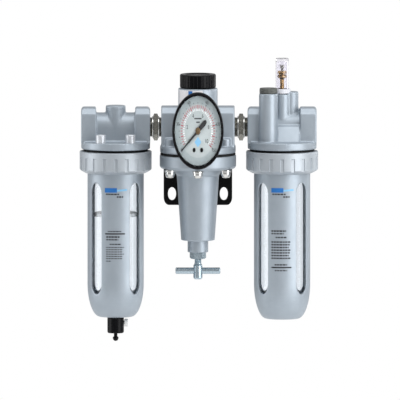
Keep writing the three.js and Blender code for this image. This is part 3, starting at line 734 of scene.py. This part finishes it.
def diaphragm():
    foot, top = low("diaphragm").z, high("diaphragm").z
    layers = [(25, foot), (46.8, foot, 0.3), (46.8, top, 0.3), (25, top)]
    put_hard(lathe("diaphragm", layers, REGULATOR, 128), "diaphragm_sheet", "manifold", RUBBER,
             "rubber", "diaphragm")


def bonnet_screws():
    for k in range(1, 7):
        node = f"bonnet_screw_{k}"
        seat = low(node).z + 6.4
        profile = [(0, seat - 6.4), (1.8, seat - 6.4), (4.8, seat - 5.9, 1.4), (6.0, seat - 3.6, 1.2),
                   (6.0, seat - 1.5, 0.3)]
        profile += [(6.9, seat - 1.5, 0.3), (6.9, seat, 0.3), (2.1, seat), (2.1, high(node).z, 0.4),
                    (0, high(node).z)]
        screw = lathe(node, profile, middle(node).xy, FINE_ROUND)
        cx, cy = middle(node).xy
        arms = [box(cx - a, cx + a, cy - b, cy + b, seat - 8, seat - 4.2) for a,
                b in ((3.2, 0.55), (0.55, 3.2))]
        put_hard(cut(screw, *arms), f"flange_screw_{k}", "manifold", NICKEL, "nickel", node)


def bracket():
    lo, hi = low("wall_bracket"), high("wall_bracket")
    half = hi.x
    sheet = 2.5
    slot_z = lo.z + 9.4
    shape = [(-half, hi.z), (-half, lo.z, 6.5), (half, lo.z, 6.5), (half, hi.z)]
    upright = prism("y", shape, hi.y - sheet, hi.y)
    shelf = box(-half, half, lo.y, hi.y, hi.z - sheet, hi.z)
    whole = joined(upright, shelf)
    tools = [rod(32.5, 10, 25, REGULATOR, ROUND)]
    for side in (-1, 1):
        spots = [math.radians(15 * k) for k in range(13)]
        slot = [(side * 32.2 + 5 * math.cos(a), slot_z + 0.4 + 5 * math.sin(a)) for a in spots]
        slot += [(side * 32.2 - 5 * math.cos(a), slot_z - 0.4 - 5 * math.sin(a)) for a in spots]
        tools.append(prism("y", slot, hi.y - 5, hi.y + 5))
    for k in range(6):
        tools.append(rod(2.6, 10, 25, middle(f"bonnet_screw_{k + 1}").xy))
    put_hard(bevelled(cut(whole, *tools), 0.35), "bracket_sheet", "manifold", BLACK_PAINT,
             "black_paint", "wall_bracket")


def spindle():
    foot, top = low("adjusting_screw").z, high("adjusting_screw").z
    pitch = 1.25

    def thread(angle, r, z):
        if abs(r - 4.4) > 0.1 or z < foot + 13.6 or z > top - 1.5:
            return 0
        phase = ((z / pitch) - angle / (2 * math.pi)) % 1
        return -0.55 * (1 - abs(2 * phase - 1))

    rows = [(4.4, foot + 13.2 + k * pitch / 5) for k in range(int((top - foot - 15) / (pitch / 5)))]
    profile = [(0, foot), (4.4, foot, 0.6), (5.65, foot + 1.2, 0.8), (5.65, foot + 11.5, 0.8),
               (4.4, foot + 12.7)]
    profile += [*rows, (3.4, top), (0, top)]
    screw = lathe("screw", profile, REGULATOR, 64, thread)
    bar_z = middle("tee_bar").z
    cx, cy = REGULATOR
    cut(screw, bar((cx - 9, cy, bar_z), (cx + 9, cy, bar_z), 3.0))
    put_hard(screw, "spindle", "adjuster", ZINC, "zinc", "adjusting_screw")
    half = (high("tee_bar").x - low("tee_bar").x) / 2
    profile = [(0, -half), (2.7, -half, 1.6), (2.7, half, 1.6), (0, half)]
    handle = turn_to(lathe("handle", profile, segments=FINE_ROUND), "x", (cx, cy, bar_z))
    put_hard(handle, "tee_handle", "adjuster", ZINC, "zinc", "tee_bar")
    lo, hi = low("lock_nut").z, high("lock_nut").z
    nut = prism("z", hexagon(10.2), lo, hi)
    cut(nut, rod(4.9, lo - 1, hi + 1))
    cone = lathe("cone", [(0, lo - 0.01), (8.6, lo - 0.01), (10.6, lo + 1.4), (10.6, hi + 1), (0, hi + 1)])
    boolean(nut, [cone], "INTERSECT")
    put_hard(bevelled(moved(nut, cx, cy), 0.2), "hex_lock_nut", "locking_nut", ZINC, "zinc", "lock_nut")


# ---- gauge ----
SCALE_START, SCALE_SWEEP = 219, 258


def on_dial(radius, share):
    """A point at a share of the scale, clockwise from zero at the lower left."""
    angle = math.radians(SCALE_START - SCALE_SWEEP * share)
    return Vector((radius * math.cos(angle), radius * math.sin(angle))), angle


def dial_ticks(name, count, major, r_short, r_long, r_out, width, look, front):
    ticks = []
    for k in range(count + 1):
        inner = r_long if k % major == 0 else r_short
        wide = width * (1.5 if k % major == 0 else 1)
        (start, angle), (end, _) = on_dial(inner, k / count), on_dial(r_out, k / count)
        side = Vector((-math.sin(angle), math.cos(angle))) * wide / 2
        corners = [start - side, end - side, end + side, start + side]
        points = [(GAUGE.x + c.x, GAUGE.z + c.y) for c in corners]
        ticks.append(prism("y", points, front, front + 0.15))
    put(merge(name, ticks), name, "manifold", look, "dial_face")


def dial_numbers(name, labels, radius, size, look, front):
    """Plain digits round the scale."""
    meshes = []
    for k, label in enumerate(labels):
        spot, _ = on_dial(radius, k / (len(labels) - 1))
        text = bpy.data.curves.new("digits", "FONT")
        text.body = label
        text.size = size * MM
        text.extrude = 0.05 * MM
        text.align_x = "CENTER"
        text.align_y = "CENTER"
        obj = bpy.data.objects.new("digits", text)
        bpy.context.scene.collection.objects.link(obj)
        bpy.context.view_layer.update()
        mesh = bpy.data.meshes.new_from_object(obj.evaluated_get(bpy.context.evaluated_depsgraph_get()))
        bpy.data.objects.remove(obj)
        where = Vector((GAUGE.x + spot.x, front + 0.05, GAUGE.z + spot.y)) * MM
        mesh.transform(Matrix.Translation(where) @ Matrix.Rotation(math.radians(90), 4, "X"))
        piece = bpy.data.objects.new("digits", mesh)
        bpy.context.scene.collection.objects.link(piece)
        meshes.append(piece)
    put(merge(name, meshes), name, "manifold", look, "dial_face")


def gauge_shell():
    front = GAUGE.y
    at = (GAUGE.x, 0, GAUGE.z)
    back = high("gauge_case").y
    can = [(4.6, back - 1.5), (4.6, back), (30.1, back, 2.5), (30.1, front + 4), (29.2, front + 4),
           (29.2, back - 1.5)]
    case = turn_to(lathe("case", can), "y", at)
    put_hard(case, "gauge_can", "manifold", BLACK_PAINT, "black_paint", "gauge_case")
    rear = high("gauge_bezel").y
    ring = [(30.5, rear), (31.4, rear, 0.4), (32, rear - 1, 0.6), (32, front + 1.8, 1.2),
            (31.2, front, 0.8), (29.9, front, 0.5)]
    ring += [(29.3, front + 1.2, 0.3), (31, front + 1.2), (31, front + 3.7), (30.5, front + 3.7)]
    bezel = turn_to(lathe("bezel", ring, segments=144), "y", at)
    put_hard(bezel, "gauge_bezel_ring", "manifold", BLACK_PLASTIC, "black_paint", "gauge_bezel")
    pane = [(0, low("gauge_lens").y), (30.6, low("gauge_lens").y, 0.4),
            (30.6, high("gauge_lens").y, 0.4), (0, high("gauge_lens").y)]
    lens = turn_to(lathe("lens", pane), "y", at)
    put_hard(lens, "gauge_window", "manifold", CLEAR_PANE, "clear_bowl", "gauge_lens")


def dial_shape(name, points, look, front):
    """A flat printed shape on the dial, from points round the dial's centre."""
    shape = prism("y", [(GAUGE.x + p[0], GAUGE.z + p[1], *p[2:]) for p in points], front, front + 0.15)
    put(shape, name, "manifold", look, "dial_face")


def gauge_dial():
    at = (GAUGE.x, 0, GAUGE.z)
    near, far = low("gauge_dial").y, high("gauge_dial").y
    disc = turn_to(lathe("disc", [(1.5, near), (28.8, near), (28.8, far), (1.5, far)]), "y", at)
    # Only the disc's outer band shows round the lighter centre disc; that darker band is painted shade from
    # the bezel.
    put_hard(disc, "dial_disc", "manifold", DIAL_SHADED_RIM, "dial_face", "gauge_dial")
    centre = turn_to(lathe("centre", [(1.5, near - 0.1), (22.4, near - 0.1), (22.4, near + 0.1),
                                      (1.5, near + 0.1)]), "y", at)
    put_hard(centre, "dial_centre", "manifold", DIAL_CENTRE, "dial_face")
    front = near - 0.22
    dial_ticks("dial_white_ticks", 40, 5, 16.6, 16.6, 18.6, 0.8, PRINT_WHITE, front)
    dial_ticks("dial_red_ticks", 40, 4, 19.2, 17.8, 21.6, 0.75, PRINT_RED, front)
    dial_ticks("dial_grey_ticks", 20, 4, 22.8, 22.4, 23.8, 0.6, PRINT_GREY, front)
    dial_numbers("dial_inner_numbers", ["0", "2", "4", "6", "8", "10"], 13.6, 4.6, PRINT_BLACK, front)
    dial_numbers("dial_outer_numbers", ["0", "30", "60", "90", "120", "150"], 25.6, 3.8, PRINT_BLACK, front)
    for k, (half, z) in enumerate(((4.5, 10.2), (2.2, 7.2))):
        dial_shape(f"dial_bar_{k}", [(-half, z - 0.6), (half, z - 0.6), (half, z + 0.6),
                                     (-half, z + 0.6)], PRINT_GREY, front)
    diamond = [(0, -4.8, 0.8), (4.3, -9.3, 0.8), (0, -13.8, 0.8), (-4.3, -9.3, 0.8)]
    dial_shape("dial_mark", diamond, PRINT_SKY, front)
    for side in ("left", "right"):
        node = f"gauge_dial_screw_{side}"
        at = (middle(node).x, 0, middle(node).z)
        profile = [(0, low(node).y), (1.0, low(node).y, 0.2), (1.9, low(node).y + 0.4, 0.2),
                   (1.9, low(node).y + 0.8)]
        profile += [(0.7, low(node).y + 0.8), (0.7, high(node).y), (0, high(node).y)]
        screw = turn_to(lathe("screw", profile, segments=24), "y", at)
        put_hard(screw, f"dial_screw_{side}", "manifold", BLACK_PAINT, "black_paint", node)


def gauge_pointer():
    near = low("gauge_pointer").y
    tilt = math.radians(SCALE_START)
    along, across = Vector((math.cos(tilt), math.sin(tilt))), Vector((-math.sin(tilt), math.cos(tilt)))
    shape = [(26.6, -0.5), (4, -1.1), (0, -1.9), (-6, -2.1), (-10, -2.3), (-13, -1.4), (-13.6, 0)]
    shape += [(-13, 1.4), (-10, 2.3), (-6, 2.1), (0, 1.9), (4, 1.1), (26.6, 0.5)]
    points = []
    for a, b in shape:
        spot = along * a + across * b
        points.append((GAUGE.x + spot.x, GAUGE.z + spot.y, 0.3))
    needle = prism("y", points, near + 0.75, near + 1.35)
    put_hard(needle, "pointer_needle", "pointer", PRINT_BLACK, "black_paint", "gauge_pointer")
    knob = [(0, near), (1.9, near, 0.4), (3.1, near + 0.5, 0.4), (3.1, near + 2, 0.2), (1.1, near + 2),
            (1.1, near + 12.4), (0, near + 12.4)]
    hub = turn_to(lathe("hub", knob, segments=FINE_ROUND), "y", (GAUGE.x, 0, GAUGE.z))
    put_hard(hub, "pointer_hub", "pointer", HUB_BRASS, "brass")


def gauge_stem():
    near, far = low("gauge_stem").y, high("gauge_stem").y
    profile = [(1.5, near), (4.2, near), (4.2, near + 4.9), (6.5, near + 4.9), (6.5, far, 0.8), (1.5, far)]
    shank = turn_to(lathe("shank", profile, segments=FINE_ROUND), "y", (GAUGE.x, 0, GAUGE.z))
    points = [(GAUGE.x + a, GAUGE.z + b) for a, b in hexagon(8.2)]
    nut = bevelled(prism("y", points, near + 5.2, near + 12.7), 0.3)
    put_hard(joined(shank, nut), "gauge_stem_turned", "manifold", BRASS, "brass", "gauge_stem")


# ---- lubricator top ----
def fill_plug():
    foot, top = low("fill_plug").z, high("fill_plug").z
    outer = 11.15
    knurls, knurl_depth = 40, 0.35

    def knurl(angle, r, z):
        return -knurl_depth * (0.5 + 0.5 * math.cos(angle * knurls)) ** 2 if r > 10.8 else 0

    under = foot + 14.4
    profile = [(0, foot), (6.9, foot, 0.6), (6.9, under), (outer - 0.4, under), (outer, under + 0.5)]
    profile += [(outer, top - 0.8), (outer - 0.7, top, 0.5), (0, top)]
    plug = lathe("plug", profile, FILL, 240, knurl)
    cut(plug, box(FILL.x - 12, FILL.x + 12, FILL.y - 1.2, FILL.y + 1.2, top - 1.8, top + 2))
    put_hard(plug, "fill_plug_knurled", "fill_cap", PLUG_GREY, "dark_steel", "fill_plug")
    seal = [(7.3, 0, 0.5), (8.9, 0, 0.5), (8.9, 1.2, 0.5), (7.3, 1.2, 0.5)]
    turned_copy("fill_plug_seal", "fill_o_ring", seal, RUBBER, "rubber", "fill_seal", FINE_ROUND)


def sight_glass():
    collar = [(8.5, 0, 0.3), (10.7, 0, 0.4), (10.7, 3.7, 0.8), (8.5, 3.7, 0.3)]
    turned_copy("sight_dome_collar", "dome_collar", collar, PALE_PLASTIC, "white_plastic", "manifold")
    tall = high("sight_dome").z - low("sight_dome").z
    dome = [(6.6, 0), (8.15, 0), (8.15, tall, 0.9), (0, tall)]
    dome += [(0, tall - 1.8), (6.6, tall - 1.8, 1)]
    foot = low("sight_dome").z
    points = [(0, foot + tall - 1.8), (6.6, foot + tall - 1.8, 1), (6.6, foot), (8.15, foot),
              (8.15, foot + tall, 0.9), (0, foot + tall)]
    dome = lathe("dome", points, LUBRICATOR)
    put_hard(dome, "sight_dome_clear", "manifold", CLEAR_DOME, "clear_bowl", "sight_dome")
    block = [(1.8, 0), (6.2, 0), (6.2, 3), (2.6, 3.6, 1), (2.6, 18.6), (3.6, 19.6, 0.3),
             (5.8, 20.4, 0.4), (5.8, 22.0, 0.3), (4.4, 22.6, 0.2)]
    block += [(4.4, 23.2, 0.2), (5.8, 23.8, 0.3), (5.2, 25.8, 0.4), (1.8, 25.8)]
    turned_copy("metering_block", "metering_body", block, BRASS, "brass", "manifold", FINE_ROUND)
    foot, top = low("metering_screw").z, high("metering_screw").z
    profile = [(0, foot), (1.4, foot + 2), (1.4, top - 2.6), (2.9, top - 2.6, 0.3), (2.9, top, 0.4), (0, top)]
    screw = lathe("screw", profile, LUBRICATOR, FINE_ROUND)
    cx, cy = LUBRICATOR
    cut(screw, box(cx - 4, cx + 4, cy - 0.5, cy + 0.5, top - 1.1, top + 1))
    put_hard(screw, "metering_slotted_screw", "drip_adjuster", DARK_STEEL, "dark_steel", "metering_screw")
    pipe = [(1.1, 0), (2, 0), (2, 138), (1.1, 138)]
    turned_copy("oil_pickup_tube", "oil_tube", pipe, WHITE_PLASTIC, "white_plastic", "manifold", FINE_ROUND)
    strainer = [(2.3, 0, 0.3), (4.5, 0, 1), (4.5, 9, 1), (2.3, 9, 0.3)]
    turned_copy("oil_pickup_strainer", "oil_strainer", strainer, BRASS, "brass", "manifold", FINE_ROUND)


# ---- nipples ----
def nipple(node):
    cx, cy, cz = middle(node)
    reach = (high(node).x - low(node).x) / 2
    pitch, thread_depth, crest = 1.4, 0.75, 8.33
    step = pitch / 5

    def thread(angle, r, z):
        if r < 8 or abs(z) < 4.4:
            return 0
        phase = (z / pitch - angle / (2 * math.pi)) % 1
        return -thread_depth * (1 - abs(2 * phase - 1))

    rows = [(crest, -reach + 0.6 + k * step) for k in range(int((2 * reach - 1.2) / step))]
    profile = [(5.5, -reach), (7.6, -reach), *rows, (7.6, reach), (5.5, reach)]
    tube = turn_to(lathe("tube", profile, segments=64, shift=thread), "x", (cx, cy, cz))
    points = [(cy + a, cz + b) for a, b in hexagon(11.25, 30)]
    nut = prism("x", points, cx - 3, cx + 3)
    cut(nut, bar((cx - 5, cy, cz), (cx + 5, cy, cz), 7))
    crown = turn_to(lathe("crown", [(0, -3.1), (9.3, -3.1), (11.5, -1.9), (11.5, 1.9), (9.3, 3.1),
                                    (0, 3.1)]), "x", (cx, cy, cz))
    bevelled(boolean(nut, [crown], "INTERSECT"), 0.2)
    for side in (-1, 1):
        ends = sorted((side * 3.05, side * 4.3))
        face = lathe("face", [(8.4, ends[0]), (9.1, ends[0], 0.4), (9.1, ends[1], 0.4), (8.4, ends[1])],
                     segments=FINE_ROUND)
        put_hard(turn_to(face, "x", (cx, cy, cz)), f"{node}_face_{'left' if side < 0 else 'right'}",
                 "manifold", NICKEL, "nickel")
    put_hard(merge(node, [tube, nut]), f"{node}_threaded", "manifold", DARK_STEEL, "dark_steel", node)


# ---- hidden CAD pieces keep their shape and get real finishes ----
def hidden_finishes():
    finishes = {
        "main_valve": BRASS, "diaphragm_plate": NICKEL, "spring_seat": NICKEL, "valve_spring": SPRING_STEEL,
        "control_spring": SPRING_STEEL, "gauge_movement": BRASS, "bourdon_tube": BRASS,
    }
    for node, look in finishes.items():
        mesh = frame["nodes"][node].data
        mesh.materials.clear()
        mesh.materials.append(look)
        mesh.shade_smooth()
        mesh.set_sharp_from_angle(angle=SHARP)


# ---- stage, light and camera ----
ELEVATION = math.radians(3.2)
SQUEEZE = 2 / 3  # the picture is this much narrower than the real view
VIEW_WIDTH = 0.4974
AIM = Vector((0.0026, -0.052, -0.0055))


def stage():
    half, level = 900, -300
    corners = [(-half, -half, level), (half, -half, level), (half, half, level), (-half, half, level)]
    floor = new_object("floor", corners, [[0, 1, 2, 3]])
    look = finish_material("pale_floor", (0.78, 0.78, 0.78), (0.80, 0.80, 0.80), (0.8, 0.9), mottle=5,
                           grain=40,
                           Emission_Color=(1, 1, 1, 1), Emission_Strength=0.22)
    floor.data.materials.append(look)


def world():
    """White where the camera looks, straight or through clear plastic, and a dimmer grey as light."""
    made = bpy.data.worlds.new("studio")
    bpy.context.scene.world = made
    made.use_nodes = True
    tree = made.node_tree
    back = tree.nodes["Background"]
    path = tree.nodes.new("ShaderNodeLightPath")
    seen = tree.nodes.new("ShaderNodeMath")
    seen.operation = "MAXIMUM"
    tree.links.new(path.outputs["Is Camera Ray"], seen.inputs[0])
    tree.links.new(path.outputs["Is Transmission Ray"], seen.inputs[1])
    level = add(tree, "ShaderNodeMapRange", To_Min=0.44, To_Max=1.0)
    tree.links.new(seen.outputs[0], level.inputs["Value"])
    tree.links.new(level.outputs["Result"], back.inputs["Strength"])
    back.inputs["Color"].default_value = (1, 1, 1, 1)


def soft_light(name, azimuth, elevation, distance, width, height, power):
    lamp = bpy.data.lights.new(name, "AREA")
    lamp.shape = "RECTANGLE"
    lamp.size, lamp.size_y, lamp.energy = width, height, power
    obj = bpy.data.objects.new(name, lamp)
    a, e = math.radians(azimuth), math.radians(elevation)
    out = Vector((math.sin(a) * math.cos(e), -math.cos(a) * math.cos(e), math.sin(e)))
    obj.location = AIM + out * distance
    obj.rotation_euler = out.to_track_quat("Z", "Y").to_euler()
    bpy.context.scene.collection.objects.link(obj)


def lights():
    soft_light("key", 52, 10, 1.1, 0.75, 1.3, 10.5)
    soft_light("left", -82, 8, 1.5, 0.9, 1.3, 9)
    soft_light("rim", 125, 20, 1.2, 0.5, 1.0, 3)
    soft_light("top", 0, 75, 1.1, 1.0, 0.7, 6)


def camera():
    """Looks straight on from slightly above, and squeezes the view sideways by a sheared parent."""
    data = bpy.data.cameras.new("camera")
    data.type = "ORTHO"
    data.ortho_scale = VIEW_WIDTH
    data.clip_end = 10
    obj = bpy.data.objects.new("camera", data)
    bpy.context.scene.collection.objects.link(obj)
    back = Vector((0, -math.cos(ELEVATION), math.sin(ELEVATION)))
    up = Vector((0, math.sin(ELEVATION), math.cos(ELEVATION)))
    mount = bpy.data.objects.new("camera_mount", None)
    bpy.context.scene.collection.objects.link(mount)
    obj.parent = mount
    lean = up * SQUEEZE + back * math.sqrt(1 - SQUEEZE**2)
    frame_axes = Matrix((Vector((1, 0, 0)), lean, back)).transposed().to_4x4()
    frame_axes.translation = AIM + back * 1.5
    obj.matrix_parent_inverse = frame_axes
    bpy.context.scene.camera = obj
    bpy.context.scene.view_settings.view_transform = "Standard"


camera()
world()
lights()
stage()

filter_head()
ring_nut("filter", FILTER, "filter_ring")
bowl_guard("filter", FILTER, "filter_bowl_set", 6.6)
clear_bowl("filter", FILTER, "filter_bowl_set", 6.6)
seals("filter", "filter_bowl_set")
filter_inside()
filter_print()
drain()

regulator_body()
top_cap()
bonnet()
diaphragm()
bonnet_screws()
bracket()
spindle()
gauge_shell()
gauge_dial()
gauge_pointer()
gauge_stem()

lubricator_head()
ring_nut("lubricator", LUBRICATOR, "lubricator_ring")
bowl_guard("lubricator", LUBRICATOR, "lubricator_bowl_set", 3)
clear_bowl("lubricator", LUBRICATOR, "lubricator_bowl_set", 3)
seals("lubricator", "lubricator_bowl_set")
lubricator_print()
fill_plug()
sight_glass()

nipple("inlet_nipple")
nipple("outlet_nipple")
hidden_finishes()
